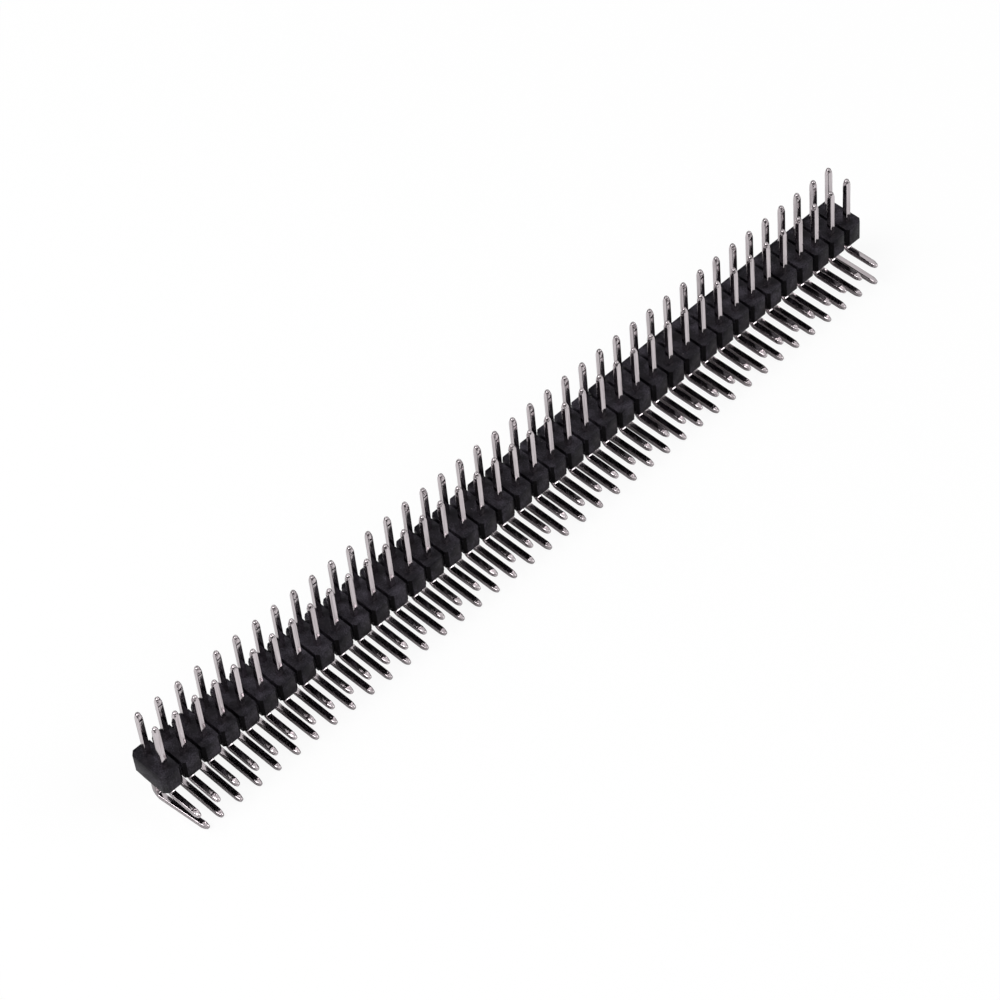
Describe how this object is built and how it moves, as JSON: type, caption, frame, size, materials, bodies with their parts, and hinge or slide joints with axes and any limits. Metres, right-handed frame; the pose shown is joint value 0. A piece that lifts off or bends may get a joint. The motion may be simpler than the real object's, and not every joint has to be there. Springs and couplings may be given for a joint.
{
  "type": "pin header strip",
  "caption": "Right-angle pin header: moulded black insulator strip with two rows of square plated pins, bent so that the solder tails leave at one side.",
  "frame": {"origin": "middle of the outer box, on the surface that the long tails lie on", "axes": "+Z along the mating legs, +X along the solder tails towards their tips, +Y along the strip"},
  "size_m": [0.0082, 0.1016, 0.0132],
  "materials": {
    "insulator": "moulded black thermoplastic, fine satin skin",
    "pins": "brass square wire with bright silver-grey tin plating"
  },
  "bodies": {
    "root": {"insulator": "insulator", "short_pins_01_02": "pins", "short_pins_03_04": "pins", "short_pins_05_06": "pins", "short_pins_07_08": "pins", "short_pins_09_10": "pins", "short_pins_11_12": "pins", "short_pins_13_14": "pins", "short_pins_15_16": "pins", "short_pins_17_18": "pins", "short_pins_19_20": "pins", "short_pins_21_22": "pins", "short_pins_23_24": "pins", "short_pins_25_26": "pins", "short_pins_27_28": "pins", "short_pins_29_30": "pins", "short_pins_31_32": "pins", "short_pins_33_34": "pins", "short_pins_35_36": "pins", "short_pins_37_38": "pins", "short_pins_39_40": "pins", "long_pins_01_02": "pins", "long_pins_03_04": "pins", "long_pins_05_06": "pins", "long_pins_07_08": "pins", "long_pins_09_10": "pins", "long_pins_11_12": "pins", "long_pins_13_14": "pins", "long_pins_15_16": "pins", "long_pins_17_18": "pins", "long_pins_19_20": "pins", "long_pins_21_22": "pins", "long_pins_23_24": "pins", "long_pins_25_26": "pins", "long_pins_27_28": "pins", "long_pins_29_30": "pins", "long_pins_31_32": "pins", "long_pins_33_34": "pins", "long_pins_35_36": "pins", "long_pins_37_38": "pins", "long_pins_39_40": "pins"}
  },
  "joints": []
}
